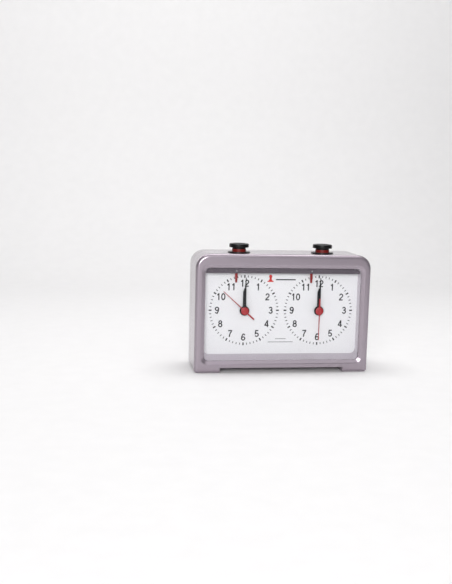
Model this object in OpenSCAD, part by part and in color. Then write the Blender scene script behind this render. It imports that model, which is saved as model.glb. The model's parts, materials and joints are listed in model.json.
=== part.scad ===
// Analogue chess clock: two quartz dials in one case, two linked plungers on top.
// +X is to the right, +Y to the back, +Z up. The clock stands on z = 0, centred on X and Y.
// Depths are counted from the front face backwards.

/* [Case] */
// Width of the case
case_w = 164; // [156:1:176]
// Height of the case without the buttons
case_h = 110; // [108:1:114]
// Depth of the case without the setting knobs
case_d = 52; // [50:1:58]
// Wall thickness of the shells
wall = 2.2; // [1.8:0.1:2.6]
// Height of the feet
foot_h = 4.6; // [4.2:0.1:6]
// Width of each foot
foot_w = 24; // [16:1:30]
// Radius of the upper corners
top_r = 13; // [10:0.5:15]
// Radius of the lower corners
base_r = 3; // [2:0.5:4]
// Depth of the visible band of the front frame
frame_d = 3.2; // [2.8:0.1:3.6]
// Depth of the joint between the middle housing and the rear cover
joint_d = 33; // [32.5:0.1:34]

/* [Window] */
// Width of the window
window_w = 146; // [142:1:148]
// Height of the lower edge of the window
window_z0 = 11.7; // [11.3:0.1:12.5]
// Height of the upper edge of the window
window_z1 = 97.3; // [96.9:0.1:98]
// Width of the bevel around the window
bevel_w = 3.2; // [2:0.1:3.4]
// Depth of the bevel
bevel_d = 1.8; // [1.4:0.1:2]
// Depth of the face of the dials
dial_d = 11; // [10.8:0.1:11.2]

/* [Dials] */
// Distance between the centres of the two dials
dial_pitch = 70.6; // [69:0.2:72]
// Height of the centres of the dials
dial_z = 57; // [56:0.5:58]
// Length of a minute hand
minute_len = 31; // [28:0.5:32]
// Length of an hour hand
hour_len = 21; // [18:0.5:23]
// Length of a second hand
second_len = 27.5; // [25:0.5:28]
// Length of the second hand's tail
second_tail = 11.8; // [10:0.2:13]
// Length of a flag below its pin
flag_len = 11; // [10:0.5:13]

/* [Buttons] */
// Distance of each button from the middle
button_x = 39.8; // [38:0.2:42]
// Depth of the button axes
button_d = 21; // [20.5:0.1:21.5]
// Height of the top of the caps above the case
button_rise = 8.3; // [8.1:0.1:9.5]
// Radius of a cap
cap_r = 9.1; // [8.6:0.1:9.6]
// Radius of the neck under a cap
neck_r = 6.2; // [5.8:0.1:6.6]

/* [Setting knobs] */
// Radius of a knob
knob_r = 7; // [6:0.5:8]
// Distance that a knob stands out of the back
knob_proud = 6; // [5.5:0.5:7]

/* [Hidden] */
$fn = 96;
eps = 0.01;
gap = 0.3;
turn_gap = 0.05;
total_d = case_d + knob_proud;
front_y = -total_d / 2;
half_w = case_w / 2;
side_x = dial_pitch / 2;
ceiling_z = case_h - wall;
floor_z = foot_h + wall;
button_y = front_y + button_d;

// Depths of the layers in front of a dial
lens_d = bevel_d + 0.5;
lens_t = 1.5;
surround_d = lens_d + lens_t + 0.1;
second_d = dial_d - 5.9;
flag_d = dial_d - 5;
minute_d = dial_d - 3.4;
hour_d = dial_d - 2;

// Window, pane and flags
lens_lap = 1.2;
surround_wall = 1.8;
ramp_z = 4;
rail_h = 4.8;
rail_t = 1.3;
pin_z = window_z1 - 2.8;
pin_r = 0.6;
flag_dx = -8.8;
flag_t = 0.8;

// Depths of the layers of a movement
plate_t = 1.2;
cover_d = dial_d + plate_t + 0.2;
hour_wheel_d = cover_d + 2;
cannon_d = hour_wheel_d + 1.5;
centre_d = cannon_d + 1.7;
third_d = centre_d + 1.4;
second_wheel_d = third_d + 1.6;
step_d = second_wheel_d + 1.4;
magnet_d = step_d + 1.6;
base_d = magnet_d + 3.4;
movement_half = 26;
movement_wall = 1.2;
wheel_t = 0.8;
pinion_t = 1.2;
arbor_r = 0.5;
setting_r = 0.75;
sleeve_r = 1.7;

// Teeth and modules of the wheels, and where their arbors stand from the dial centre
cannon_teeth = 12;
motion_teeth = 36;
motion_pinion_teeth = 10;
hour_teeth = 40;
motion_m = 0.5;
hour_m = motion_m * (cannon_teeth + motion_teeth) / (motion_pinion_teeth + hour_teeth);
motion_dist = motion_m * (cannon_teeth + motion_teeth) / 2;
small_teeth = 8;
third_teeth = 60;
centre_teeth = 64;
centre_m = 0.33;
third_m = centre_m * (small_teeth + centre_teeth) / (small_teeth + third_teeth);
third_dist = centre_m * (small_teeth + centre_teeth) / 2;
second_teeth = 48;
step_teeth = 30;
rotor_teeth = 6;
second_m = 0.4;
step_dist = second_m * (small_teeth + second_teeth) / 2;
rotor_dist = second_m * (rotor_teeth + step_teeth) / 2;
motion_a = -90;
third_a = 160;
step_a = 20;
rotor_a = 60;
motion_at = motion_dist * [cos(motion_a), sin(motion_a)];
third_at = third_dist * [cos(third_a), sin(third_a)];
step_at = step_dist * [cos(step_a), sin(step_a)];
rotor_at = step_at + rotor_dist * [cos(rotor_a), sin(rotor_a)];
coil_z = 19;
coil_half = 11.5;
coil_x = -3;
magnet_r = 2.6;

// Rocker under the top of the case
rocker_z = 93;
rocker_pin_r = 1.25;
rocker_hub_r = 4;
rocker_beam_t = 4;
rocker_beam_w = 6;
rocker_travel = 3;
bracket_ear_t = 1.6;
plunger_r = 3;

// Buttons
cap_top_z = case_h + button_rise;
cap_h = 3.5;
ring_t = 0.25;
ring_h = 7;
collar_r = 10.5;
collar_t = 0.9;
collar_bush_r = 9;
collar_bore_r = neck_r + ring_t + gap;

// Battery bay in the back
bay_half_w = 29;
bay_z0 = 10.5;
bay_z1 = 29.5;
bay_d = case_d - 17.5;
door_t = 1.6;
hinge_d = case_d - 1.1;
hinge_z = bay_z0 + 0.4;
hinge_r = 0.5;
cell_r = 7.25;
cell_len = 50;
cell_z = (bay_z0 + bay_z1) / 2;
cell_d = case_d - door_t - 8.3;

// Screws
screw_x = 75;
screw_zs = [13.2, 94];
screw_r = 1.4;
screw_head_r = 2.8;
screw_head_t = 1.8;
screw_sink = 2;
boss_r = 3.9;
post_d = dial_d + plate_t + 0.1;

case_grey = [0.63, 0.59, 0.64];
dial_white = [0.94, 0.94, 0.95];
print_black = [0.13, 0.12, 0.14];
flag_red = [0.62, 0.1, 0.1];
gear_white = [0.88, 0.87, 0.82];
steel = [0.7, 0.71, 0.73];
brass = [0.8, 0.66, 0.35];

// ---------- helpers ----------

// Extrudes a front-view outline from depth d, t thick
module slab(d, t) {
    translate([0, front_y + d + t, 0])
        rotate([90, 0, 0])
            linear_extrude(t)
                children();
}

// Round bar along Y
module rod(x, z, d, t, r) {
    slab(d, t)
        translate([x, z])
            circle(r);
}

// Rectangle from z0 to z1 with upper corners rt and lower corners rb
module round_box(w, z0, z1, rt, rb) {
    h = w / 2;
    translate([-h, z0 + rb]) square([w, z1 - rt - z0 - rb]);
    translate([-h + rt, z1 - rt - eps]) square([w - 2 * rt, rt + eps]);
    translate([-h + rb, z0]) square([w - 2 * rb, rb + eps]);
    for (side = [-1, 1]) {
        translate([side * (h - rt), z1 - rt]) circle(rt);
        translate([side * (h - rb), z0 + rb]) circle(rb);
    }
}

// Outline of the case, drawn in by i
module case_outline(i = 0) {
    round_box(case_w - 2 * i, i, case_h - i, top_r - i, max(base_r - i, 0.8));
}

// Space between the feet
module foot_notch() {
    translate([-half_w + foot_w, -1]) square([case_w - 2 * foot_w, foot_h + 1]);
}

// Inside of the shells, drawn in by i
module case_inside(i = 0) {
    round_box(case_w - 2 * wall - 2 * i, floor_z + i, ceiling_z - i, top_r - wall - i, 1.5);
}

// Window outline, grown by i
module window_outline(i = 0) {
    round_box(window_w + 2 * i, window_z0 - i, window_z1 + i, 4 + i / 2, 4 + i / 2);
}

// Toothed wheel with slim teeth, first tooth at angle a
module wheel(teeth, m, d, t, at, a, bore = 0) {
    r = m * teeth / 2;
    tip = r + 0.7 * m;
    root = r - m;
    slab(d, t)
        translate(at)
            difference() {
                rotate(a)
                    polygon([for (i = [0 : teeth - 1]) for (k = [[-0.2, root], [-0.09, tip],
                        [0.09, tip], [0.2, root]])
                        k[1] * [cos(360 / teeth * (i + k[0])), sin(360 / teeth * (i + k[0]))]]);
                if (bore > 0) circle(bore);
            }
}

// Angle of the first tooth of a wheel that meets a tooth coming from direction a
function meet(a, teeth) = a + 180 + 180 / teeth;

// ---------- case ----------

module front_frame() {
    color(case_grey)
    difference() {
        union() {
            hull() {
                slab(0, eps) case_outline(2.4);
                slab(0.45, eps) case_outline(1.15);
                slab(1.3, eps) case_outline(0.35);
                slab(2.4, frame_d - 2.4) case_outline();
            }
            slab(frame_d, 2) case_inside(0.15);
        }
        hull() {
            slab(-1, 1) window_outline(bevel_w);
            slab(bevel_d - eps, eps) window_outline();
        }
        slab(bevel_d - 2 * eps, 1) window_outline();
        slab(lens_d, frame_d + 3) window_outline(lens_lap + 0.9);
        slab(-1, frame_d + 1) foot_notch();
        for (side = [-1, 1], z = screw_zs)
            rod(side * screw_x, z, frame_d - 1.2, 4, boss_r + 0.2);
    }
}

module window_lens() {
    color([0.85, 0.9, 0.92, 0.3])
    slab(lens_d, lens_t) window_outline(lens_lap + 0.7);
}

module dial_surround() {
    color(case_grey)
    difference() {
        slab(surround_d, dial_d - surround_d) window_outline(surround_wall);
        difference() {
            slab(surround_d - 1, dial_d) window_outline();
            translate([-half_w, front_y, 0])
                rotate([90, 0, 90])
                    linear_extrude(case_w)
                        polygon([[surround_d, 0], [surround_d, window_z0],
                            [dial_d, window_z0 + ramp_z], [dial_d + 2, 0]]);
        }
    }
}

module dial_plate() {
    color(dial_white)
    difference() {
        slab(dial_d, plate_t) window_outline(surround_wall);
        for (side = [-1, 1])
            rod(side * side_x, dial_z, dial_d - 1, plate_t + 2, 2.4);
    }
}

// Threaded posts that the case screws enter
module screw_posts(d, t, r) {
    for (side = [-1, 1], z = screw_zs)
        rod(side * screw_x, z, d, t, r);
}

module middle_housing() {
    color(case_grey)
    difference() {
        union() {
            difference() {
                slab(frame_d, joint_d - frame_d) case_outline();
                slab(frame_d - 1, joint_d) case_inside();
                slab(frame_d - 1, joint_d) foot_notch();
            }
            for (side = [-1, 1], z = screw_zs) {
                rod(side * screw_x, z, post_d, joint_d - post_d, boss_r);
                slab(post_d, joint_d - post_d)
                    translate([side > 0 ? screw_x : -half_w + 0.5, z - 1.2])
                        square([half_w - 0.5 - screw_x, 2.4]);
            }
        }
        screw_posts(joint_d - 16, 17, screw_r);
        for (side = [-1, 1])
            translate([side * button_x, button_y, ceiling_z - 1])
                cylinder(h = wall + 2, r = collar_bush_r + 0.1);
    }
}

module rear_cover() {
    back_t = case_d - wall - joint_d;
    color(case_grey)
    difference() {
        union() {
            difference() {
                hull() {
                    slab(joint_d, case_d - joint_d - 4) case_outline();
                    slab(case_d - 2, eps) case_outline(0.55);
                    slab(case_d - 0.7, eps) case_outline(1.7);
                    slab(case_d - eps, eps) case_outline(3.4);
                }
                slab(joint_d - 1, back_t + 1) case_inside();
            }
            screw_posts(joint_d, back_t + 1, boss_r);
            slab(bay_d - 1.6, case_d - bay_d)
                translate([-bay_half_w - 1.6, bay_z0 - 1.6])
                    square([2 * bay_half_w + 3.2, bay_z1 - bay_z0 + 3.2]);
        }
        slab(joint_d - 1, case_d) foot_notch();
        slab(bay_d, case_d)
            translate([-bay_half_w, bay_z0])
                square([2 * bay_half_w, bay_z1 - bay_z0]);
        slab(case_d - door_t - 0.4, 3)
            translate([-bay_half_w - 1.2, bay_z0 - 0.9])
                square([2 * bay_half_w + 2.4, bay_z1 - bay_z0 + 2.1]);
        door_hinge(bay_half_w + 2.2, hinge_r + turn_gap);
        screw_posts(joint_d - 1, case_d, screw_r + 0.2);
        screw_posts(case_d - screw_sink - screw_head_t, 9, screw_head_r + 0.25);
        for (side = [-1, 1])
            rod(side * side_x, dial_z + motion_at[1], joint_d, case_d, 2.8);
    }
}

// Round bar along the hinge axis of the battery door, half_len to each side
module door_hinge(half_len, r) {
    translate([0, front_y + hinge_d, hinge_z])
        rotate([0, 90, 0])
            cylinder(h = 2 * half_len, r = r, center = true);
}

module battery_door() {
    finger_d = case_d - door_t;
    color(case_grey)
    difference() {
        union() {
            slab(finger_d, door_t)
                translate([-bay_half_w - 0.9, hinge_z])
                    square([2 * bay_half_w + 1.8, bay_z1 + 0.9 - hinge_z]);
            door_hinge(bay_half_w + 0.9, 0.7);
            door_hinge(bay_half_w + 2, hinge_r);
            slab(finger_d - 1.4, 1.4 + eps)
                translate([-6, bay_z1 - 1.5])
                    square([12, 1.2]);
        }
        for (i = [-3 : 3])
            translate([i * 3, front_y + case_d + 0.3, bay_z1 - 4.5])
                cylinder(h = 3, r = 0.7, center = true);
    }
}

module case_screws() {
    head_d = case_d - screw_sink - screw_head_t;
    color(steel)
    for (side = [-1, 1], z = screw_zs)
        difference() {
            union() {
                rod(side * screw_x, z, head_d, screw_head_t, screw_head_r);
                rod(side * screw_x, z, joint_d - 14, head_d - joint_d + 14 + eps, screw_r);
            }
            slab(head_d + 0.8, screw_head_t)
                translate([side * screw_x, z]) {
                    square([3.4, 0.7], center = true);
                    square([0.7, 3.4], center = true);
                }
        }
}

// ---------- flags ----------

module flag_rail() {
    rail_z = window_z1 - 0.2 - rail_h;
    color(print_black)
    difference() {
        union() {
            slab(surround_d + 0.1, rail_t)
                intersection() {
                    translate([-window_w / 2, rail_z])
                        square([window_w, rail_h - 0.4]);
                    window_outline(-0.6);
                }
            slab(surround_d + 0.1, dial_d - surround_d - 0.1)
                translate([-window_w / 2 + 6, rail_z + rail_h - 0.8])
                    square([window_w - 12, 0.6]);
        }
        for (side = [-1, 1])
            rod(side * side_x + flag_dx, pin_z, surround_d, 4, pin_r);
    }
}

module flag_pins() {
    color(steel)
    for (side = [-1, 1])
        rod(side * side_x + flag_dx, pin_z, surround_d + 0.5, dial_d - surround_d - 0.5, pin_r);
}

module flag(side) {
    color(flag_red)
    slab(flag_d, flag_t)
        translate([side * side_x + flag_dx, pin_z])
            difference() {
                union() {
                    circle(1.5);
                    polygon([[-1.5, 0], [-0.9, -flag_len], [0.9, -flag_len], [1.5, 0]]);
                }
                circle(pin_r + turn_gap);
            }
}

// ---------- buttons ----------

module at_button(side) {
    translate([side * button_x, button_y, 0]) children();
}

module button_cap(side) {
    dish_r = 5.6;
    low = cap_top_z - cap_h;
    round = 0.9;
    color(print_black)
    at_button(side)
        rotate_extrude()
            polygon(concat(
                [[0, low], [cap_r - 0.5, low], [cap_r, low + 0.5]],
                [for (a = [0 : 15 : 90])
                    [cap_r - round + round * cos(a), cap_top_z - round + round * sin(a)]],
                [[dish_r + 0.6, cap_top_z], [dish_r, cap_top_z - 0.3]],
                [for (a = [1 : 6]) let (r = dish_r * (1 - a / 6))
                    [r, cap_top_z - 0.3 - 0.6 * (1 - pow(r / dish_r, 2))]]));
}

module button_ring(side) {
    color(flag_red)
    at_button(side)
        translate([0, 0, ceiling_z - 1.4])
            difference() {
                cylinder(h = ring_h, r = neck_r + ring_t);
                translate([0, 0, -1]) cylinder(h = ring_h + 2, r = neck_r);
            }
}

module plunger(side) {
    neck_low = ceiling_z - 2.2;
    rod_low = rocker_z + rocker_beam_t / 2 + 0.4;
    color(print_black)
    at_button(side) {
        translate([0, 0, neck_low])
            cylinder(h = cap_top_z - cap_h - neck_low, r = neck_r);
        translate([0, 0, rod_low + plunger_r - 1])
            cylinder(h = neck_low - rod_low - plunger_r + 1 + eps, r = plunger_r);
        intersection() {
            translate([0, 0, rod_low + plunger_r + 1.5]) sphere(r = plunger_r + 1.5);
            translate([0, 0, rod_low]) cylinder(h = plunger_r, r = plunger_r);
        }
    }
}

module button_collar(side) {
    color(print_black)
    at_button(side)
        difference() {
            union() {
                translate([0, 0, case_h]) cylinder(h = collar_t, r = collar_r);
                translate([0, 0, ceiling_z - 0.6])
                    cylinder(h = wall + 0.6 + eps, r = collar_bush_r);
            }
            translate([0, 0, ceiling_z - 2]) cylinder(h = 8, r = collar_bore_r);
        }
}

// ---------- rocker ----------

module rocker_beam() {
    color(gear_white)
    difference() {
        union() {
            translate([-button_x - 4, button_y - rocker_beam_w / 2, rocker_z - rocker_beam_t / 2])
                cube([2 * button_x + 8, rocker_beam_w, rocker_beam_t]);
            rod(0, rocker_z, button_d - rocker_beam_w / 2, rocker_beam_w, rocker_hub_r);
            slab(button_d - 1.5, 3)
                polygon([[-3, rocker_z], [3, rocker_z], [0.6, rocker_z + 8], [-0.6, rocker_z + 8]]);
        }
        rod(0, rocker_z, button_d - 10, 20, rocker_pin_r + turn_gap);
    }
}

// Bracket with the riveted pin that the beam rocks on
module rocker_bracket() {
    ear_h = ceiling_z - rocker_z + 4;
    color(steel) {
        slab(button_d - 7, 14)
            translate([-11, ceiling_z - 1.6])
                square([22, 1.6 - eps]);
        for (d = [button_d - 5.5, button_d + 5.5 - bracket_ear_t])
            slab(d, bracket_ear_t)
                translate([-4.5, rocker_z - 4])
                    square([9, ear_h - 1]);
        rod(0, rocker_z, button_d - 6.5, 13, rocker_pin_r);
    }
}

// Leaf with a nose that the beam's finger snaps past
module detent_spring() {
    leaf = 0.35;
    top = ceiling_z - 1.6 - eps;
    color(steel)
    slab(button_d - 1.8, 3.6) {
        translate([-10, top - leaf]) square([20, leaf]);
        polygon([[-7, top - leaf], [0, top - 3.4], [7, top - leaf],
            [6, top - leaf], [0, top - 3], [-6, top - leaf]]);
    }
}

module switch_contacts() {
    leaf_z = rocker_z - rocker_beam_t / 2 - rocker_travel - 0.9;
    foot_z = dial_z + movement_half;
    color(brass)
    for (side = [-1, 1]) {
        translate([side > 0 ? button_x - 9 : -button_x - 3, button_y - 2.5, leaf_z])
            cube([12, 5, 0.3]);
        translate([side * button_x, button_y, leaf_z - eps]) cylinder(h = 0.6, r = 1.2);
        translate([side > 0 ? button_x - 9 : -button_x + 6, button_y - 4, foot_z])
            cube([3, 8, leaf_z - foot_z + eps]);
    }
}

// ---------- battery and electronics ----------

module battery_cell() {
    color([0.2, 0.21, 0.24])
    translate([-cell_len / 2, front_y + cell_d, cell_z])
        rotate([0, 90, 0]) {
            cylinder(h = cell_len - 1, r = cell_r);
            cylinder(h = cell_len, r = 2.75);
        }
}

// Tube of radius wire_r along a cone-shaped helix from z = 0 to len
module cone_spring(r0, r1, len, turns, wire_r) {
    sides = 8;
    per_turn = 20;
    rings = turns * per_turn;
    points = [for (i = [0 : rings]) for (k = [0 : sides - 1])
        let (a = 360 * i / per_turn, b = 360 * k / sides,
            r = r0 + (r1 - r0) * i / rings + wire_r * cos(b))
        [r * cos(a), r * sin(a), len * i / rings + wire_r * sin(b)]];
    walls = [for (i = [0 : rings - 1]) for (k = [0 : sides - 1])
        let (n = (k + 1) % sides)
        [i * sides + n, (i + 1) * sides + n, (i + 1) * sides + k, i * sides + k]];
    ends = [[for (k = [sides - 1 : -1 : 0]) k],
        [for (k = [0 : sides - 1]) rings * sides + k]];
    polyhedron(points, concat(walls, ends));
}

// Spring at the negative end of the cell, plate with a boss at the other
module battery_contacts() {
    coil_len = bay_half_w - cell_len / 2 - 1.6;
    color(steel)
    translate([-bay_half_w, front_y + cell_d, cell_z])
        rotate([0, 90, 0]) {
            translate([-5.5, -5.5, 0]) cube([11, 11, 0.5]);
            translate([0, 0, 0.7]) cone_spring(4.6, 2.6, coil_len, 3, 0.35);
        }
    color(steel)
    translate([cell_len / 2 + 0.1, front_y + cell_d, cell_z])
        rotate([0, 90, 0]) {
            translate([0, 0, bay_half_w - cell_len / 2 - 0.6])
                translate([-5.5, -5.5, 0]) cube([11, 11, 0.5]);
            cylinder(h = bay_half_w - cell_len / 2 - 0.6 + eps, r = 1.6);
        }
}

module circuit_board() {
    board_d = base_d + 4.6;
    color([0.16, 0.36, 0.2])
    slab(board_d, 1.6)
        difference() {
            translate([-27, 50]) square([54, 30]);
            for (x = [-24, 24], z = [53, 77])
                translate([x, z]) circle(1.2);
        }
    color(print_black)
    slab(board_d + 1.6 - eps, 1.8)
        translate([-15, 58])
            square([13, 13]);
}

module quartz_crystal() {
    color(steel)
    rod(8, 66, base_d + 4.6 + 1.6, 3.4, 3);
}

// ---------- movements ----------

// Moves front-view outlines to the centre of a dial
module at_dial(side) {
    translate([side * side_x, 0, dial_z]) children();
}

module movement_cover(side) {
    color(print_black)
    at_dial(side)
        difference() {
            slab(cover_d, second_wheel_d - 0.3 - cover_d)
                square(2 * movement_half, center = true);
            slab(cover_d + movement_wall, 30)
                square(2 * (movement_half - movement_wall), center = true);
            rod(0, 0, cover_d - 1, 4, 2.35);
        }
}

module movement_base(side) {
    color(print_black)
    at_dial(side)
        difference() {
            slab(second_wheel_d - 0.3, base_d + movement_wall + 0.3 - second_wheel_d)
                square(2 * movement_half, center = true);
            slab(second_wheel_d - 1, base_d + 1 - second_wheel_d)
                square(2 * (movement_half - movement_wall), center = true);
            rod(motion_at[0], motion_at[1], base_d - 1, 4, setting_r + turn_gap);
        }
}

module coil(side) {
    color([0.72, 0.38, 0.2])
    at_dial(side)
        translate([coil_x, front_y + magnet_d + 1.4, coil_z])
            rotate([0, 90, 0])
                difference() {
                    cylinder(h = 2 * coil_half, r = 1.9, center = true);
                    cube([1.7, 1.7, 40], center = true);
                }
}

module stator(side) {
    color(steel)
    at_dial(side) {
        translate([0, front_y + magnet_d + 1.4, coil_z]) cube([36, 1.4, 1.4], center = true);
        slab(magnet_d + 0.7, 1.4)
            difference() {
                union() {
                    translate([rotor_at[0] - 4.5, rotor_at[1] - 4.5])
                        square([9, coil_z - rotor_at[1] + 5.5]);
                    translate([-18, coil_z - 3]) square([2.6, 4]);
                }
                translate(rotor_at) circle(magnet_r + 0.4);
            }
    }
}

module rotor(side) {
    color([0.3, 0.3, 0.33])
    at_dial(side) {
        rod(rotor_at[0], rotor_at[1], magnet_d, 2.6, magnet_r);
        rod(rotor_at[0], rotor_at[1], step_d - 0.2, magnet_d - step_d + 0.2 + eps, 0.6);
        wheel(rotor_teeth, second_m, step_d - 0.2, pinion_t, rotor_at, meet(rotor_a, rotor_teeth));
    }
}

module step_wheel(side) {
    color(gear_white)
    at_dial(side) {
        wheel(step_teeth, second_m, step_d, wheel_t, step_at, rotor_a);
        wheel(small_teeth, second_m, second_wheel_d - 0.2, pinion_t, step_at, meet(step_a, small_teeth));
        rod(step_at[0], step_at[1], second_wheel_d - 0.2, base_d - second_wheel_d, arbor_r);
    }
}

module second_wheel(side) {
    color(gear_white)
    at_dial(side) {
        wheel(second_teeth, second_m, second_wheel_d, wheel_t, [0, 0], step_a);
        wheel(small_teeth, third_m, third_d - 0.2, pinion_t, [0, 0], third_a);
        rod(0, 0, third_d + 0.9, second_wheel_d - third_d, 1.1);
    }
    color(steel)
    at_dial(side) rod(0, 0, second_d + 0.2, base_d - 0.3 - second_d, 0.45);
}

module third_wheel(side) {
    color(gear_white)
    at_dial(side) {
        wheel(third_teeth, third_m, third_d, wheel_t, third_at, meet(third_a, third_teeth));
        wheel(small_teeth, centre_m, centre_d - 0.2, pinion_t, third_at, meet(third_a, small_teeth));
        rod(third_at[0], third_at[1], centre_d - 1, base_d - centre_d + 0.8, arbor_r);
    }
}

// Rides on the cannon pinion's sleeve between its shoulder and its rim, as a friction clutch
module centre_wheel(side) {
    color(gear_white)
    at_dial(side)
        difference() {
            wheel(centre_teeth, centre_m, centre_d, wheel_t, [0, 0], third_a);
            rod(0, 0, centre_d - 1, wheel_t + 2, sleeve_r + turn_gap);
        }
}

module cannon_pinion(side) {
    color(gear_white)
    at_dial(side)
        difference() {
            union() {
                wheel(cannon_teeth, motion_m, cannon_d, pinion_t, [0, 0], motion_a);
                rod(0, 0, minute_d - 0.1, centre_d - minute_d + 0.1, 1.2);
                rod(0, 0, cannon_d + 1, centre_d - cannon_d - 1.05, 2.2);
                rod(0, 0, cannon_d + 1, centre_d - cannon_d + wheel_t - 0.95, sleeve_r);
                rod(0, 0, centre_d + wheel_t + 0.05, 0.2, 2.1);
            }
            rod(0, 0, minute_d - 1, 20, 0.5);
        }
}

module motion_wheel(side) {
    color(gear_white)
    at_dial(side) {
        wheel(motion_teeth, motion_m, cannon_d + 0.2, wheel_t, motion_at, meet(motion_a, motion_teeth));
        wheel(motion_pinion_teeth, hour_m, hour_wheel_d - 0.2, pinion_t, motion_at,
            meet(motion_a, motion_pinion_teeth));
        rod(motion_at[0], motion_at[1], hour_wheel_d + 0.9, cannon_d - hour_wheel_d, 1.4);
        rod(motion_at[0], motion_at[1], hour_wheel_d - 0.6, case_d + 3 - hour_wheel_d, setting_r);
    }
}

module hour_wheel(side) {
    color(gear_white)
    at_dial(side)
        difference() {
            union() {
                wheel(hour_teeth, hour_m, hour_wheel_d, wheel_t, [0, 0], motion_a);
                rod(0, 0, hour_d - 0.1, hour_wheel_d - hour_d + 0.2, 2);
            }
            rod(0, 0, hour_d - 1, 20, 1.25);
        }
}

module setting_knob(side) {
    flutes = 18;
    color(print_black)
    at_dial(side)
        difference() {
            union() {
                slab(case_d + 0.5, knob_proud - 0.5)
                    translate(motion_at)
                        difference() {
                            circle(knob_r);
                            for (i = [0 : flutes - 1])
                                rotate(i * 360 / flutes)
                                    translate([knob_r + 0.35, 0])
                                        circle(0.75, $fn = 24);
                        }
                rod(motion_at[0], motion_at[1], case_d - 4, 4.5 + eps, 2.3);
            }
            rod(motion_at[0], motion_at[1], case_d - 5, 8, setting_r);
            slab(total_d - 0.8, 2)
                translate(motion_at)
                    difference() {
                        circle(knob_r - 1.6);
                        circle(knob_r - 4.4);
                    }
        }
}

// ---------- hands ----------

// Hand at depth d, t thick, turned clockwise by a: a hub with a bore, and a blade as a child
module hand(side, d, t, a, hub_r, bore_r) {
    at_dial(side)
        rotate([0, a, 0])
            difference() {
                union() {
                    rod(0, 0, d, t, hub_r);
                    slab(d, t) children();
                }
                rod(0, 0, d - 1, t + 2, bore_r);
            }
}

module hour_hand(side) {
    w = 1.45;
    color(print_black)
    hand(side, hour_d, 0.8, 0, 3.6, 2)
        polygon([[-w, 2.6], [-w, hour_len - 3.4], [-0.3, hour_len], [0.3, hour_len],
            [w, hour_len - 3.4], [w, 2.6]]);
}

module minute_hand(side) {
    color(print_black)
    hand(side, minute_d, 0.6, 1.5, 4.6, 1.2)
        polygon([[-1.4, 2.5], [-0.3, minute_len], [0.3, minute_len], [1.4, 2.5]]);
}

module second_hand(side) {
    blade_t = 0.5;
    boss_t = 0.9;
    color(flag_red) {
        hand(side, second_d, blade_t, side < 0 ? -48 : 180, 3.65, 0.45)
            polygon([[-0.5, 0], [-0.3, second_len], [0.3, second_len], [0.5, 0],
                [0.95, -4], [0.95, -second_tail], [-0.95, -second_tail], [-0.95, -4]]);
        at_dial(side)
            difference() {
                rod(0, 0, second_d + blade_t - eps, boss_t, 1.3);
                rod(0, 0, second_d - 1, 4, 0.45);
            }
    }
}

// ---------- the parts ----------

front_frame();
window_lens();
dial_surround();
dial_plate();
middle_housing();
rear_cover();
battery_door();
case_screws();
flag_rail();
flag_pins();
flag(-1);  // left_flag
flag(1);  // right_flag
button_cap(-1);  // left_button_cap
button_ring(-1);  // left_button_ring
plunger(-1);  // left_plunger
button_collar(-1);  // left_button_collar
button_cap(1);  // right_button_cap
button_ring(1);  // right_button_ring
plunger(1);  // right_plunger
button_collar(1);  // right_button_collar
rocker_beam();
rocker_bracket();
detent_spring();
switch_contacts();
battery_cell();
battery_contacts();
circuit_board();
quartz_crystal();
movement_cover(-1);  // left_movement_cover
movement_base(-1);  // left_movement_base
coil(-1);  // left_coil
stator(-1);  // left_stator
rotor(-1);  // left_rotor
step_wheel(-1);  // left_step_wheel
second_wheel(-1);  // left_second_wheel
third_wheel(-1);  // left_third_wheel
centre_wheel(-1);  // left_centre_wheel
cannon_pinion(-1);  // left_cannon_pinion
motion_wheel(-1);  // left_motion_wheel
hour_wheel(-1);  // left_hour_wheel
setting_knob(-1);  // left_setting_knob
hour_hand(-1);  // left_hour_hand
minute_hand(-1);  // left_minute_hand
second_hand(-1);  // left_second_hand
movement_cover(1);  // right_movement_cover
movement_base(1);  // right_movement_base
coil(1);  // right_coil
stator(1);  // right_stator
rotor(1);  // right_rotor
step_wheel(1);  // right_step_wheel
second_wheel(1);  // right_second_wheel
third_wheel(1);  // right_third_wheel
centre_wheel(1);  // right_centre_wheel
cannon_pinion(1);  // right_cannon_pinion
motion_wheel(1);  // right_motion_wheel
hour_wheel(1);  // right_hour_wheel
setting_knob(1);  // right_setting_knob
hour_hand(1);  // right_hour_hand
minute_hand(1);  // right_minute_hand
second_hand(1);  // right_second_hand
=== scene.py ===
"""Looks for an analogue chess clock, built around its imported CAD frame."""

import json
import math

import bmesh
import bpy
from mathutils import Matrix, Vector


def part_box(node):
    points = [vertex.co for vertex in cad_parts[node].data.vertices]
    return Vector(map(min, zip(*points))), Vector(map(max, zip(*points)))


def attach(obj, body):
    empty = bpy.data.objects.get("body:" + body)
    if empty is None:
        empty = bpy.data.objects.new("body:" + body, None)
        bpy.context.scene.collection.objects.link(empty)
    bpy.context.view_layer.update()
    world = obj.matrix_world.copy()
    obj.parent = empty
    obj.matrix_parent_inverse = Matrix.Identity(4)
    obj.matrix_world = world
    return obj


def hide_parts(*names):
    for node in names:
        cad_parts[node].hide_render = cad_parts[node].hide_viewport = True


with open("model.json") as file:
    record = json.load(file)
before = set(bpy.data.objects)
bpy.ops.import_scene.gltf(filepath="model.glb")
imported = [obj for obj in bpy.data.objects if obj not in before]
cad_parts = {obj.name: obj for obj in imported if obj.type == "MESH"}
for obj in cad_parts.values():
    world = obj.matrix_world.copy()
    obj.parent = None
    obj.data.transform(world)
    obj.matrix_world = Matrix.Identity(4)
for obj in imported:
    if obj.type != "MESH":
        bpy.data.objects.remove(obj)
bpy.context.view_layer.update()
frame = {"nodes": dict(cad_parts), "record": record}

MM = 0.001  # shapes below are worked out in millimetres, and meshes are made in metres
SIDES = ("left", "right")


# ---------- sizes, from the frame ----------

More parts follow.
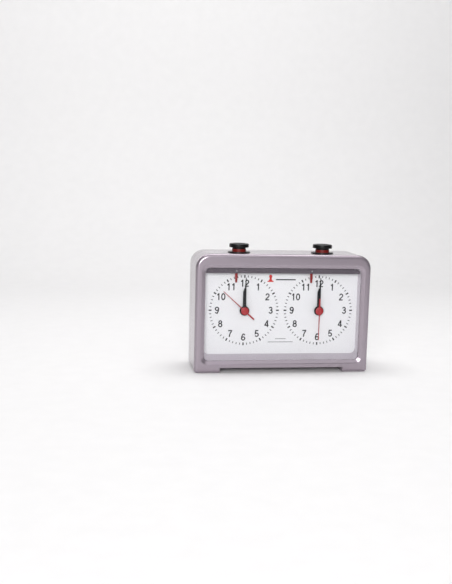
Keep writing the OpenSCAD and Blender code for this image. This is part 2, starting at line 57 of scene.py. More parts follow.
def box_mm(node):
    """Lowest and highest corner of a CAD node, in millimetres."""
    low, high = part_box(node)
    return low / MM, high / MM


housing_low, housing_high = box_mm("middle_housing")
cover_low, cover_high = box_mm("rear_cover")
surround_low, surround_high = box_mm("dial_surround")

FRONT_Y = box_mm("front_frame")[0].y
CASE_W = housing_high.x - housing_low.x
CASE_H = housing_high.z
CASE_D = cover_high.y - FRONT_Y
FRAME_D = housing_low.y - FRONT_Y
JOINT_D = cover_low.y - FRONT_Y
DIAL_D = box_mm("dial_plate")[0].y - FRONT_Y
LENS_D = box_mm("window_lens")[0].y - FRONT_Y
SURROUND_WALL = 1.8
SURROUND_D = surround_low.y - FRONT_Y
RAMP_Z = 4.0
WINDOW_LOW = (surround_low.x + SURROUND_WALL, surround_low.z + SURROUND_WALL)
WINDOW_HIGH = (surround_high.x - SURROUND_WALL, surround_high.z - SURROUND_WALL)
WINDOW_R = 4.0
WALL = 2.2
TOP_R = 13.0
BASE_R = 3.0
FOOT_W = 24.0
FOOT_H = 4.6
COLLAR_HOLE_R = 9.1
SEAM = 0.02  # half the gap between two shells
SCREW_X = 75.0
SCREW_ZS = (13.2, CASE_H - 16.0)
SCREW_POCKET_R = 3.05
KNOB_WELL_R = 2.8
WELL_DEEP = 3.8
DOOR_LOW = (-29.9, 10.9)
DOOR_HIGH = (29.9, 30.4)
DOOR_T = 1.6
DOOR_GAP = 0.3
BAY_LOW = (-29.0, 12.0)
BAY_HIGH = (29.0, 29.5)
HINGE_D = CASE_D - 1.1
HINGE_R = 0.7
TRUNNION_R = 0.5
PAST_BACK = 3.0  # how far a cutter stands out of the back
TRUNNION_END = box_mm("battery_door")[1].x
BEVEL_W = 3.2
BEVEL_D = 1.8
TICK_R = 31.7
HOUR_TICK = (1.35, 0.62)  # half length and half width
MINUTE_TICK = (0.95, 0.35)
PRINT_T = 0.03
NUMERAL_R = 25.3
NUMERAL_H = 6.5
NUMERAL_STROKE = 1.1


def dial_centre(side):
    """X and Z of the dial on that side: its hour wheel is concentric with it."""
    low, high = box_mm(side + "_hour_wheel")
    return (low.x + high.x) / 2, (low.z + high.z) / 2


def knob_centre(side):
    """X and Z of the setting knob on that side."""
    low, high = box_mm(side + "_setting_knob")
    return (low.x + high.x) / 2, (low.z + high.z) / 2


def axis_of(node):
    """X and Y of the upright axis through a CAD node."""
    low, high = box_mm(node)
    return (low.x + high.x) / 2, (low.y + high.y) / 2


# ---------- outlines ----------

def outline(corners, inset=0.0, notch_inset=None, segs=10):
    """Counterclockwise outline with rounded corners, drawn in by inset.

    corners are (x, z, radius, notch): notch marks an edge that starts there and takes notch_inset.
    Every outline of one list of corners has the same number of points, so they can be lofted.
    """
    notch_inset = inset if notch_inset is None else notch_inset
    points = [Vector((c[0], c[1])) for c in corners]
    edges = []
    for i, start in enumerate(points):
        along = (points[(i + 1) % len(points)] - start).normalized()
        inward = Vector((-along.y, along.x))
        edges.append((start + inward * (notch_inset if corners[i][3] else inset), along))
    made = []
    for i, corner in enumerate(corners):
        (a, along_a), (b, along_b) = edges[i - 1], edges[i]
        cross = along_a.x * along_b.y - along_a.y * along_b.x
        if abs(cross) < 1e-9:
            made += [b.copy()] * (segs + 1)
            continue
        step = ((b - a).x * along_b.y - (b - a).y * along_b.x) / cross
        meet = a + along_a * step
        drawn = notch_inset if corner[3] or corners[i - 1][3] else inset
        radius = max(corner[2] - drawn if cross > 0 else corner[2] + drawn, 0.05)
        turn = math.atan2(cross, along_a.dot(along_b))
        start = meet - along_a * radius * math.tan(abs(turn) / 2)
        to_centre = Vector((-along_a.y, along_a.x)) * math.copysign(radius, cross)
        centre = start + to_centre
        for k in range(segs + 1):
            made.append(centre + Matrix.Rotation(turn * k / segs, 2) @ (start - centre))
    return made


HALF_W = CASE_W / 2
NOTCH_X = HALF_W - FOOT_W
CASE_CORNERS = [
    (-HALF_W, 0, BASE_R, False), (-NOTCH_X, 0, 0.5, True),
    (-NOTCH_X, FOOT_H, 0.5, True), (NOTCH_X, FOOT_H, 0.5, True),
    (NOTCH_X, 0, 0.5, False), (HALF_W, 0, BASE_R, False),
    (HALF_W, CASE_H, TOP_R, False), (-HALF_W, CASE_H, TOP_R, False),
]


def window_corners(grow, lift=0.0, r=None):
    """The window, with four more points along its lower edge to pair it with the case."""
    left, low = WINDOW_LOW[0] - grow, WINDOW_LOW[1] - grow + lift
    right, high = WINDOW_HIGH[0] + grow, WINDOW_HIGH[1] + grow
    r = WINDOW_R + grow * 0.6 if r is None else r
    xs = [-NOTCH_X - 2, -NOTCH_X + 2, NOTCH_X - 2, NOTCH_X + 2]
    return ([(left, low, r, False)] + [(x, low, 0, False) for x in xs]
            + [(right, low, r, False), (right, high, r, False), (left, high, r, False)])


def rectangle(left, low, right, high, r):
    return [(left, low, r, False), (right, low, r, False),
            (right, high, r, False), (left, high, r, False)]


# ---------- meshes ----------

def add_piece(name, mesh, body, material, replaced=()):
    piece = bpy.data.objects.new(name, mesh)
    bpy.context.scene.collection.objects.link(piece)
    mesh.materials.append(material)
    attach(piece, body)
    if replaced:
        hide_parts(*replaced)
    return piece


def finish_mesh(bm, name, sharp=32):
    bmesh.ops.remove_doubles(bm, verts=bm.verts, dist=2e-7)
    bmesh.ops.dissolve_degenerate(bm, edges=bm.edges, dist=1e-7)
    bmesh.ops.recalc_face_normals(bm, faces=bm.faces)
    mesh = bpy.data.meshes.new(name)
    bm.to_mesh(mesh)
    bm.free()
    mesh.shade_smooth()
    mesh.set_sharp_from_angle(angle=math.radians(sharp))
    return mesh


def at_depth(points, d):
    """Outline points at depth d behind the front face, as vertices in metres."""
    return [Vector((p.x, FRONT_Y + d, p.y)) * MM for p in points]


def loft(bm, rings, ring_closed=False):
    """Skins rings of equally many points; the ends are capped, or the last ring meets the first."""
    rows = [[bm.verts.new(p) for p in ring] for ring in rings]
    pairs = list(zip(rows, rows[1:])) + ([(rows[-1], rows[0])] if ring_closed else [])
    for a, b in pairs:
        for i in range(len(a)):
            j = (i + 1) % len(a)
            if (a[i].co - a[j].co).length < 1e-8 and (b[i].co - b[j].co).length < 1e-8:
                continue
            bm.faces.new((a[i], a[j], b[j], b[i]))
    if not ring_closed:
        bm.faces.new(rows[0])
        bm.faces.new(rows[-1])
    return bm


def plate(bm, corners, d0, d1, edge, segs=6):
    """Flat plate from depth d0 to d1 with softened edges."""
    rings = [(edge, d0), (edge * 0.3, d0 + edge * 0.3), (0, d0 + edge),
             (0, d1 - edge), (edge * 0.3, d1 - edge * 0.3), (edge, d1)]
    return loft(bm, [at_depth(outline(corners, i, segs=segs), d) for i, d in rings])


def lathe(bm, profile, place, steps=96):
    """Turns profile points (radius, height) about an axis; place maps (x, y, height) to metres."""
    rows = []
    for r, h in profile:
        if r < 1e-6:
            rows.append([bm.verts.new(place(0, 0, h))])
            continue
        rows.append([bm.verts.new(place(r * math.cos(a), r * math.sin(a), h))
                     for a in (2 * math.pi * k / steps for k in range(steps))])
    for a, b in zip(rows, rows[1:]):
        for k in range(steps):
            n = (k + 1) % steps
            corners = [a[k % len(a)], a[n % len(a)], b[n % len(b)], b[k % len(b)]]
            unique = list(dict.fromkeys(corners))
            if len(unique) > 2:
                bm.faces.new(unique)
    return bm


def arc(cx, cz, r, a0, a1, steps=6):
    """Points on an arc, angles in degrees."""
    angles = [math.radians(a0 + (a1 - a0) * k / steps) for k in range(steps + 1)]
    return [(cx + r * math.cos(a), cz + r * math.sin(a)) for a in angles]


def upright(x, y):
    return lambda u, v, h: Vector((x + u, y + v, h)) * MM


def facing_front(x, z):
    """A lathe axis along Y whose heights are depths."""
    return lambda u, v, h: Vector((x + u, FRONT_Y + h, z + v)) * MM


def along_x(y, z):
    return lambda u, v, h: Vector((h, y + u, z + v)) * MM


def soften(piece, width):
    """Rounds the crisp edges of a carried-over CAD part."""
    bevel = piece.modifiers.new("soft_edges", "BEVEL")
    bevel.width = width * MM
    bevel.segments = 2
    bevel.limit_method = "ANGLE"
    bevel.angle_limit = math.radians(35)
    bevel.harden_normals = False
    bevel.use_clamp_overlap = True


def weigh_normals(piece):
    modifier = piece.modifiers.new("even_normals", "WEIGHTED_NORMAL")
    modifier.keep_sharp = True
    modifier.weight = 80


# ---------- materials ----------

def linear(r, g, b):
    """Linear colour of an sRGB colour with parts from 0 to 255."""
    parts = [c / 255 for c in (r, g, b)]
    return [p / 12.92 if p <= 0.04045 else ((p + 0.055) / 1.055) ** 2.4 for p in parts] + [1]


def surface(name, colour, roughness, vary=0.05, grain=700, bump=0.0, bump_scale=1500,
            smudge=0.06, metallic=0.0, coat=0.0, specular=0.5, stretch=(1, 1, 1)):
    """Moulded or metal surface: speckled colour, patchy roughness and a fine relief."""
    material = bpy.data.materials.new(name)
    material.use_nodes = True
    tree = material.node_tree
    shader = tree.nodes["Principled BSDF"]
    shader.inputs["Metallic"].default_value = metallic
    shader.inputs["Coat Weight"].default_value = coat
    shader.inputs["Coat Roughness"].default_value = 0.08
    shader.inputs["Specular IOR Level"].default_value = specular
    place = tree.nodes.new("ShaderNodeTexCoord")
    mapping = tree.nodes.new("ShaderNodeMapping")
    mapping.inputs["Scale"].default_value = stretch
    tree.links.new(place.outputs["Object"], mapping.inputs["Vector"])

    def noise(scale, detail):
        node = tree.nodes.new("ShaderNodeTexNoise")
        node.inputs["Scale"].default_value = scale
        node.inputs["Detail"].default_value = detail
        tree.links.new(mapping.outputs["Vector"], node.inputs["Vector"])
        return node

    speckle = noise(grain, 3)
    ramp = tree.nodes.new("ShaderNodeValToRGB")
    ramp.color_ramp.elements[0].position = 0.3
    ramp.color_ramp.elements[1].position = 0.7
    ramp.color_ramp.elements[0].color = [c * (1 - vary) for c in colour[:3]] + [1]
    ramp.color_ramp.elements[1].color = [min(c * (1 + vary), 1) for c in colour[:3]] + [1]
    tree.links.new(speckle.outputs["Fac"], ramp.inputs["Fac"])
    tree.links.new(ramp.outputs["Color"], shader.inputs["Base Color"])

    patches = noise(60, 4)
    spread = tree.nodes.new("ShaderNodeMapRange")
    spread.inputs["To Min"].default_value = max(roughness - smudge, 0.02)
    spread.inputs["To Max"].default_value = min(roughness + smudge, 1)
    tree.links.new(patches.outputs["Fac"], spread.inputs["Value"])
    tree.links.new(spread.outputs["Result"], shader.inputs["Roughness"])

    if bump:
        relief = noise(bump_scale, 2)
        node = tree.nodes.new("ShaderNodeBump")
        node.inputs["Strength"].default_value = bump
        node.inputs["Distance"].default_value = 0.05 * MM
        tree.links.new(relief.outputs["Fac"], node.inputs["Height"])
        tree.links.new(node.outputs["Normal"], shader.inputs["Normal"])
    return material


def clear_pane():
    """Thin clear acrylic: almost fully see-through, with a faint sheen."""
    material = surface("clear_pane", [0.1, 0.11, 0.12, 1], 0.05, vary=0.05, smudge=0.03)
    shader = material.node_tree.nodes["Principled BSDF"]
    shader.inputs["Alpha"].default_value = 0.06
    material.surface_render_method = "BLENDED"
    return material


MATERIALS = {
    "case_plastic": surface("case_plastic", linear(158, 147, 157), 0.27, vary=0.01, grain=1400,
                            smudge=0.005, metallic=0.65, coat=0.55),
    # The dial tray is the case plastic in a lighter copy: painted light that brightens the inner
    # walls of the window.
    "tray_plastic": surface("tray_plastic", linear(206, 198, 207), 0.32, vary=0.02, grain=900,
                            bump=0.02, bump_scale=1800, smudge=0.03, metallic=0.35, coat=0.5),
    "clear_pane": clear_pane(),
    "dial_face": surface("dial_face", linear(249, 249, 252), 0.45, vary=0.01, grain=300,
                         bump=0.02, bump_scale=2500, smudge=0.04),
    # On the flag rail this dark grey is painted shade: it stands for the shaded recess wall above
    # the dials.
    "black_plastic": surface("black_plastic", linear(92, 82, 92), 0.45, vary=0.05, grain=1500,
                             bump=0.04, bump_scale=2200, specular=0.35),
    "button_black": surface("button_black", linear(10, 9, 11), 0.3, vary=0.15, grain=900,
                            bump=0.06, bump_scale=1500, smudge=0.06, specular=0.3),
    "ring_red": surface("ring_red", linear(124, 28, 24), 0.5, vary=0.12, grain=900, specular=0.3),
    "flag_red": surface("flag_red", linear(146, 18, 22), 0.4, vary=0.1, grain=800,
                        bump=0.08, bump_scale=1800),
    "hand_black": surface("hand_black", linear(16, 15, 18), 0.5, vary=0.12, grain=1200,
                          bump=0.08, bump_scale=2500, smudge=0.08, specular=0.25),
    "hand_red": surface("hand_red", linear(178, 32, 40), 0.42, vary=0.08, grain=1200,
                        bump=0.08, bump_scale=2500, smudge=0.08),
    "print_black": surface("print_black", linear(36, 34, 40), 0.6, vary=0.12, grain=2500),
    "print_grey": surface("print_grey", linear(54, 52, 60), 0.6, vary=0.12, grain=2500),
    "print_red": surface("print_red", linear(215, 44, 40), 0.5, vary=0.08, grain=2500),
    "steel": surface("steel", linear(190, 192, 196), 0.28, vary=0.05, grain=900, metallic=1.0,
                     bump=0.1, bump_scale=900, stretch=(1, 6, 1)),
    "contact_brass": surface("contact_brass", linear(214, 184, 116), 0.25, metallic=1.0),
    "beam_plastic": surface("beam_plastic", linear(226, 223, 214), 0.42, bump=0.08),
    "gear_plastic": surface("gear_plastic", linear(230, 227, 214), 0.4, bump=0.08),
    "cell_jacket": surface("cell_jacket", linear(60, 64, 76), 0.25, vary=0.1, metallic=0.6),
    "board": surface("board", linear(34, 98, 58), 0.35, vary=0.2, grain=250),
    "copper": surface("copper", linear(196, 118, 74), 0.3, vary=0.12, grain=3000, metallic=0.9,
                      bump=0.5, bump_scale=2500, stretch=(8, 1, 1)),
    "magnet": surface("magnet", linear(84, 84, 90), 0.5, vary=0.15, grain=1500, metallic=0.5),
}


# ---------- case ----------

def front_frame():
    """Bezel: rounded outside, flat land, bevel down to the window, skirt behind."""
    fillet_w, fillet_d = 3.2, 2.6
    pane_lap, skirt_l = 2.1, 1.8
    back = FRAME_D - 0.05
    rings = [(case_ring(1.25, 1.25), back), (case_ring(0.3, 0.1), back),
             (case_ring(0.0, 0.0), FRAME_D - 0.35)]
    steps = 9
    for k in range(steps + 1):
        a = math.pi / 2 * k / steps
        inset = fillet_w * (1 - math.cos(a))
        rings.append((case_ring(inset, min(inset * 0.12, 0.3)), fillet_d * (1 - math.sin(a))))
    bevel_len = math.hypot(BEVEL_W, BEVEL_D)
    soft = 0.5
    rings.append((window_ring(BEVEL_W + soft), 0.0))
    rings.append((window_ring(BEVEL_W + soft * 0.3), 0.03))
    rings.append((window_ring(BEVEL_W - soft * 0.6), soft * 0.6 * BEVEL_D / bevel_len))
    rings.append((window_ring(0.5), BEVEL_D - 0.32))
    rings.append((window_ring(0.12), BEVEL_D - 0.05))
    rings.append((window_ring(0.0), BEVEL_D + 0.2))
    rings.append((window_ring(0.0), LENS_D - SEAM))
    rings.append((window_ring(pane_lap), LENS_D - SEAM))
    rings.append((window_ring(pane_lap), FRAME_D + skirt_l))
    rings.append((case_ring(WALL + 0.2, WALL + 0.2), FRAME_D + skirt_l))
    rings.append((case_ring(WALL + 0.2, WALL + 0.2), back))
    bm = loft(bmesh.new(), [at_depth(points, d) for points, d in rings], ring_closed=True)
    piece = add_piece("bezel", finish_mesh(bm, "bezel"), "case",
                      MATERIALS["case_plastic"], ["front_frame"])
    weigh_normals(piece)


def case_ring(inset, notch_inset):
    return outline(CASE_CORNERS, inset, notch_inset)


def window_ring(grow):
    return outline(window_corners(grow))


def cut(piece, cutter_bm):
    """Takes the cutter out of the piece and bakes the result."""
    mesh = bpy.data.meshes.new("cutter")
    bmesh.ops.recalc_face_normals(cutter_bm, faces=cutter_bm.faces)
    cutter_bm.to_mesh(mesh)
    cutter_bm.free()
    cutter = bpy.data.objects.new("cutter", mesh)
    bpy.context.scene.collection.objects.link(cutter)
    modifier = piece.modifiers.new("cut", "BOOLEAN")
    modifier.operation = "DIFFERENCE"
    modifier.solver = "EXACT"
    modifier.object = cutter
    depsgraph = bpy.context.evaluated_depsgraph_get()
    baked = bpy.data.meshes.new_from_object(piece.evaluated_get(depsgraph))
    piece.modifiers.remove(modifier)
    old = piece.data
    piece.data = baked
    bpy.data.meshes.remove(old)
    bpy.data.objects.remove(cutter)
    baked.set_sharp_from_angle(angle=math.radians(32))


def box_cutter(low, high, deep):
    """Cutter for an opening in the back, between two (x, z) corners."""
    near = Vector((low[0], FRONT_Y + CASE_D - deep, low[1]))
    far = Vector((high[0], FRONT_Y + CASE_D + PAST_BACK, high[1]))
    bm = bmesh.new()
    matrix = Matrix.LocRotScale((near + far) / 2 * MM, None, (far - near) * MM)
    bmesh.ops.create_cube(bm, size=1, matrix=matrix)
    return bm


def well_cutter(x, z, r):
    """Cutter for a round well in the back."""
    low, high = CASE_D - WELL_DEEP, CASE_D + PAST_BACK
    return lathe(bmesh.new(), [(0, low), (r, low), (r, high), (0, high)], facing_front(x, z), 48)


def dial_tray():
    """Walls between the pane and the dials: straight at the sides, sloping up to the dial below."""
    front, floor = SURROUND_D, DIAL_D
    tray = window_corners(-0.35, RAMP_Z - 0.2, 5.0)
    rings = [(window_ring(SURROUND_WALL), floor - 0.02), (window_ring(SURROUND_WALL), front),
             (window_ring(0.3), front), (window_ring(0.0), front + 0.3),
             (outline(tray), floor - 0.02)]
    bm = loft(bmesh.new(), [at_depth(points, d) for points, d in rings], ring_closed=True)
    piece = add_piece("dial_tray", finish_mesh(bm, "dial_tray"), "case",
                      MATERIALS["tray_plastic"], ["dial_surround"])
    weigh_normals(piece)


def middle_housing():
    """Middle shell: a ring with a step at the front that leaves a shadow line to the bezel."""
    step_d, step_in = 1.0, 1.3
    rings = [(WALL, FRAME_D), (step_in, FRAME_D), (step_in, FRAME_D + step_d),
             (0.35, FRAME_D + step_d), (0.1, FRAME_D + step_d + 0.1),
             (0.0, FRAME_D + step_d + 0.35), (0.0, JOINT_D - 0.3), (0.1, JOINT_D - 0.1),
             (0.3, JOINT_D - SEAM), (WALL, JOINT_D - SEAM)]
    bm = loft(bmesh.new(), [at_depth(case_ring(i, i), d) for i, d in rings], ring_closed=True)
    piece = add_piece("middle_shell", finish_mesh(bm, "middle_shell"), "case",
                      MATERIALS["case_plastic"], ["middle_housing"])
    for side in SIDES:
        low, high = CASE_H - 2 * WALL, CASE_H + 2 * WALL
        hole = [(0, low), (COLLAR_HOLE_R, low), (COLLAR_HOLE_R, high), (0, high)]
        cut(piece, lathe(bmesh.new(), hole, upright(*axis_of(side + "_button_collar"))))
    weigh_normals(piece)


def rear_cover():
    """Back shell with rounded edges, a battery bay, screw pockets and openings for the knobs."""
    edge = 4.0
    rings = [(0.3, JOINT_D + SEAM), (0.1, JOINT_D + 0.12), (0.0, JOINT_D + 0.35)]
    steps = 9
    for k in range(steps + 1):
        a = math.pi / 2 * k / steps
        rings.append((edge * 0.85 * (1 - math.cos(a)), CASE_D - edge * (1 - math.sin(a))))
    outer = [at_depth(case_ring(i, min(i, 0.3)), d) for i, d in rings]
    inner = [at_depth(case_ring(WALL, WALL), d) for d in (CASE_D - WALL, JOINT_D + SEAM)]
    bm = loft(bmesh.new(), inner + outer)
    piece = add_piece("rear_shell", finish_mesh(bm, "rear_shell"), "case",
                      MATERIALS["case_plastic"], ["rear_cover"])
    swing_room = 1.3  # below the door, where its hinge turns
    cut(piece, box_cutter((DOOR_LOW[0] - DOOR_GAP, DOOR_LOW[1] - swing_room),
                          (DOOR_HIGH[0] + DOOR_GAP, DOOR_HIGH[1] + DOOR_GAP), 2.0))
    cut(piece, box_cutter(BAY_LOW, BAY_HIGH, 4.0))
    for x in (-SCREW_X, SCREW_X):
        for z in SCREW_ZS:
            cut(piece, well_cutter(x, z, SCREW_POCKET_R))
    for side in SIDES:
        cut(piece, well_cutter(*knob_centre(side), KNOB_WELL_R))
    weigh_normals(piece)


def battery_door():
    """Flush lid with thumb ribs, and the barrel of its hinge along the lower edge."""
    bm = plate(bmesh.new(), rectangle(*DOOR_LOW, *DOOR_HIGH, 0.5), CASE_D - DOOR_T, CASE_D, edge=0.2)
    end, start = -TRUNNION_END, DOOR_LOW[0]
    barrel = [(0, end), (TRUNNION_R, end), (TRUNNION_R, start), (HINGE_R - 0.1, start),
              (HINGE_R, start + 0.1)]
    barrel += [(r, -x) for r, x in barrel[::-1]]
    lathe(bm, barrel, along_x(FRONT_Y + HINGE_D, DOOR_LOW[1]), 32)
    rib_pitch, rib_half_h, rib_rise = 1.7, 0.35, 0.45
    for i in range(5):
        half = 9 - i * 1.4
        z = DOOR_HIGH[1] - 3.2 - i * rib_pitch
        rib = rectangle(-half, z - rib_half_h, half, z + rib_half_h, rib_half_h - 0.01)
        plate(bm, rib, CASE_D - 0.4, CASE_D + rib_rise, edge=0.2)
    piece = add_piece("battery_lid", finish_mesh(bm, "battery_lid"), "battery_lid",
                      MATERIALS["case_plastic"], ["battery_door"])
    weigh_normals(piece)


# ---------- buttons ----------

def button(side):
    """Dished cap, red ring and the collar in the case; the neck is the CAD plunger."""
    x, y = axis_of(side + "_button_cap")
    cap_low, cap_high = box_mm(side + "_button_cap")
    bottom, top = cap_low.z, cap_high.z
    body = side + "_button"
    neck_low, neck_high = box_mm(side + "_plunger")
    cap_r, dish_r, neck_r = 9.1, 5.6, (neck_high.x - neck_low.x) / 2
    dish = [(dish_r * t, top - 0.3 - 0.75 * (1 - t * t)) for t in (0, 0.2, 0.4, 0.6, 0.8, 0.95)]
    profile = ([(0, bottom)] + [(neck_r - 0.2, bottom)]
               + arc(cap_r - 0.45, bottom + 0.45, 0.45, -90, 0)
               + arc(cap_r - 1.0, top - 1.0, 1.0, 0, 90)
               + arc(dish_r + 0.55, top - 0.4, 0.4, 90, 180, 4) + dish[::-1])
    bm = lathe(bmesh.new(), profile, upright(x, y))
    add_piece(side + "_cap", finish_mesh(bm, side + "_cap", 50), body,
              MATERIALS["button_black"], [side + "_button_cap"])

    ring_low, ring_high = box_mm(side + "_button_ring")
    r = (ring_high.x - ring_low.x) / 2
    profile = [(neck_r + 0.01, ring_low.z), (r, ring_low.z), (r, ring_high.z - 0.2),
               (r - 0.08, ring_high.z), (neck_r + 0.01, ring_high.z), (neck_r + 0.01, ring_low.z)]
    bm = lathe(bmesh.new(), profile, upright(x, y))
    add_piece(side + "_ring", finish_mesh(bm, side + "_ring"), body,
              MATERIALS["ring_red"], [side + "_button_ring"])

    collar_low, collar_high = box_mm(side + "_button_collar")
    r = (collar_high.x - collar_low.x) / 2
    bore, bush = neck_r + 0.55, 9.0
    profile = ([(bore, collar_low.z), (bush, collar_low.z), (bush, CASE_H), (r, CASE_H)]
               + arc(r - 0.4, collar_high.z - 0.4, 0.4, 0, 90, 4)
               + arc(bore + 0.35, collar_high.z - 0.35, 0.35, 90, 180, 4) + [(bore, collar_low.z)])
    bm = lathe(bmesh.new(), profile, upright(x, y))
    add_piece(side + "_collar", finish_mesh(bm, side + "_collar"), "case",
              MATERIALS["button_black"], [side + "_button_collar"])


# ---------- dials ----------

def bar(bm, cx, cz, a, half_l, half_w, d0, d1):
    """Radial bar on the tick circle at clockwise angle a."""
    r0, r1 = TICK_R - half_l, TICK_R + half_l
    out = Vector((math.sin(a), math.cos(a)))
    across = Vector((out.y, -out.x))
    centre = Vector((cx, cz))
    points = [centre + out * r + across * w
              for r, w in ((r0, half_w), (r1, half_w), (r1, -half_w), (r0, -half_w))]
    loft(bm, [at_depth(points, d0), at_depth(points, d1)])


def curve_points(cx, cy, rx, ry, a0, a1, steps=18):
    """Points on an ellipse, from angle a0 to a1 in degrees."""
    angles = [math.radians(a0 + (a1 - a0) * k / steps) for k in range(steps + 1)]
    return [(cx + rx * math.cos(a), cy + ry * math.sin(a)) for a in angles]


def digit_strokes(digit):
    """Centre lines of a plain sans-serif digit that is 1 high and about 0.62 wide."""
    six = [curve_points(0.31, 0.3, 0.225, 0.225, 0, 360, 32),
           [(0.53, 0.76)] + curve_points(0.335, 0.7, 0.2, 0.225, 25, 120, 10)
           + curve_points(0.41, 0.42, 0.325, 0.46, 135, 195, 10)]
    shapes = {
        "0": [curve_points(0.31, 0.5, 0.225, 0.425, 0, 360, 36)],
        "1": [[(0.37, 0.0), (0.37, 1.0)], [(0.13, 0.76), (0.24, 0.78), (0.31, 0.85), (0.35, 0.97)]],
        "2": [curve_points(0.31, 0.69, 0.215, 0.235, 175, -35) + [(0.12, 0.19), (0.085, 0.075),
                                                                  (0.56, 0.075)]],
        "3": [curve_points(0.29, 0.725, 0.195, 0.2, 165, -80) + [(0.22, 0.52)],
              [(0.22, 0.52)] + curve_points(0.3, 0.295, 0.225, 0.22, 85, -165)],
        "4": [[(0.42, 1.0), (0.42, 0.0)], [(0.4, 0.93), (0.07, 0.33), (0.07, 0.27), (0.6, 0.27)]],
        "5": [[(0.54, 0.925), (0.17, 0.925), (0.115, 0.5)]
              + curve_points(0.3, 0.31, 0.235, 0.235, 140, -150)],
        "6": six,
        "7": [[(0.05, 0.925), (0.545, 0.925), (0.545, 0.86), (0.39, 0.61), (0.28, 0.33), (0.24, 0)]],
        "8": [curve_points(0.31, 0.725, 0.19, 0.2, 0, 360, 32),
              curve_points(0.31, 0.295, 0.23, 0.22, 0, 360, 32)],
        "9": [[(0.62 - x, 1 - y) for x, y in stroke] for stroke in six],
    }
    return shapes[digit]


def ribbon(bm, path, half_w, d0, d1):
    """Flat band of even width along a path in front view, from depth d0 to d1."""
    points = [Vector(p) for p in path]
    closed = (points[0] - points[-1]).length < 1e-6
    if closed:
        points = points[:-1]
    n = len(points)
    left, right = [], []
    for i, point in enumerate(points):
        before = points[i - 1] if i or closed else None
        after = points[(i + 1) % n] if i < n - 1 or closed else None
        ways = []
        if before is not None:
            ways.append((point - before).normalized())
        if after is not None:
            ways.append((after - point).normalized())
        normals = [Vector((-w.y, w.x)) for w in ways]
        across = sum(normals, Vector((0, 0))).normalized()
        stretch = 1 / max(across.dot(normals[0]), 0.45)
        left.append(point + across * half_w * stretch)
        right.append(point - across * half_w * stretch)
    for i in range(n if closed else n - 1):
        j = (i + 1) % n
        corners = [left[i], right[i], right[j], left[j]]
        loft(bm, [at_depth(corners, d0), at_depth(corners, d1)])


def number(bm, words, cx, cz, height, d0, d1):
    """A numeral of one or two digits, centred on (cx, cz)."""
    advance, width = 0.7, 0.62
    start = -(advance * (len(words) - 1) + width) / 2
    for i, digit in enumerate(words):
        for stroke in digit_strokes(digit):
            path = [(cx + (start + i * advance + x) * height, cz + (y - 0.5) * height)
                    for x, y in stroke]
            ribbon(bm, path, NUMERAL_STROKE / 2, d0, d1)


def dial_print(side):
    """Ticks and numerals of one dial, as thin pieces that stand just proud of the plate."""
    cx, cz = dial_centre(side)
    d0, d1 = DIAL_D - PRINT_T, DIAL_D + PRINT_T
    hours, minutes = bmesh.new(), bmesh.new()
    for k in range(60):
        a = math.radians(6 * k)
        if k % 5 == 0:
            bar(hours, cx, cz, a, *HOUR_TICK, d0, d1)
        else:
            bar(minutes, cx, cz, a, *MINUTE_TICK, d0, d1)
    for hour in range(1, 13):
        a = math.radians(30 * hour)
        number(hours, str(hour), cx + NUMERAL_R * math.sin(a), cz + NUMERAL_R * math.cos(a),
               NUMERAL_H, d0, d1)
    add_piece(side + "_hour_print", finish_mesh(hours, side + "_hour_print"), "case",
              MATERIALS["print_black"])
    add_piece(side + "_minute_print", finish_mesh(minutes, side + "_minute_print"), "case",
              MATERIALS["print_grey"])


def turned(points, cx, cz, a):
    """Blade points (across, along), turned clockwise by a degrees about the dial centre."""
    a = math.radians(a)
    return [(cx + u * math.cos(a) + v * math.sin(a), cz - u * math.sin(a) + v * math.cos(a))
            for u, v in points]


def hand(side, kind, angle, blade, hub_r, thick, slot, cap):
    """A hand: softened blade and hub, both on the body that the CAD hand rides on."""
    cx, cz = dial_centre(side)
    node = side + "_" + kind + "_hand"
    d0 = box_mm(node)[0].y - FRONT_Y
    body = side + "_" + kind + "s"
    bm = bmesh.new()
    corners = [(x, z, 0.12, False) for x, z in turned(blade, cx, cz, angle)]
    plate(bm, corners, d0, d0 + thick, edge=0.1, segs=3)
    rise = 0.5 if cap else 0.1
    profile = ([(0, d0 - rise), (hub_r * 0.35, d0 - rise * 0.93), (hub_r * 0.65, d0 - rise * 0.65),
                (hub_r * 0.88, d0 - rise * 0.22), (hub_r * 0.97, d0), (hub_r, d0 + 0.12)]
               if cap else [(0, d0 - rise), (hub_r - 0.2, d0 - rise), (hub_r, d0 + 0.1)])
    profile += [(hub_r, d0 + thick + 0.1), (hub_r - 0.15, d0 + thick + 0.25), (0, d0 + thick + 0.25)]
    lathe(bm, profile, facing_front(cx, cz), 72)
    piece = add_piece(node + "_blade", finish_mesh(bm, node + "_blade"), body,
                      MATERIALS[slot], [node])
    weigh_normals(piece)


def hands(side):
    """Blades as (across, along) points."""
    hour = [(1.45, -1.0), (1.45, 17.4), (0.3, 20.9), (-0.3, 20.9), (-1.45, 17.4), (-1.45, -1.0)]
    minute = [(1.4, -1.0), (1.4, 2.5), (0.28, 30.9), (-0.28, 30.9), (-1.4, 2.5), (-1.4, -1.0)]
    second = [(0.5, 0), (0.28, 27.4), (-0.28, 27.4), (-0.5, 0), (-0.7, -4), (-0.7, -11.7),
              (0.7, -11.7), (0.7, -4)]
    hand(side, "hour", 0, hour, 3.5, 0.8, "hand_black", False)
    hand(side, "minute", 1.5, minute, 4.5, 0.6, "hand_black", False)
    hand(side, "second", -48 if side == "left" else 180, second, 3.6, 0.5, "hand_red", True)


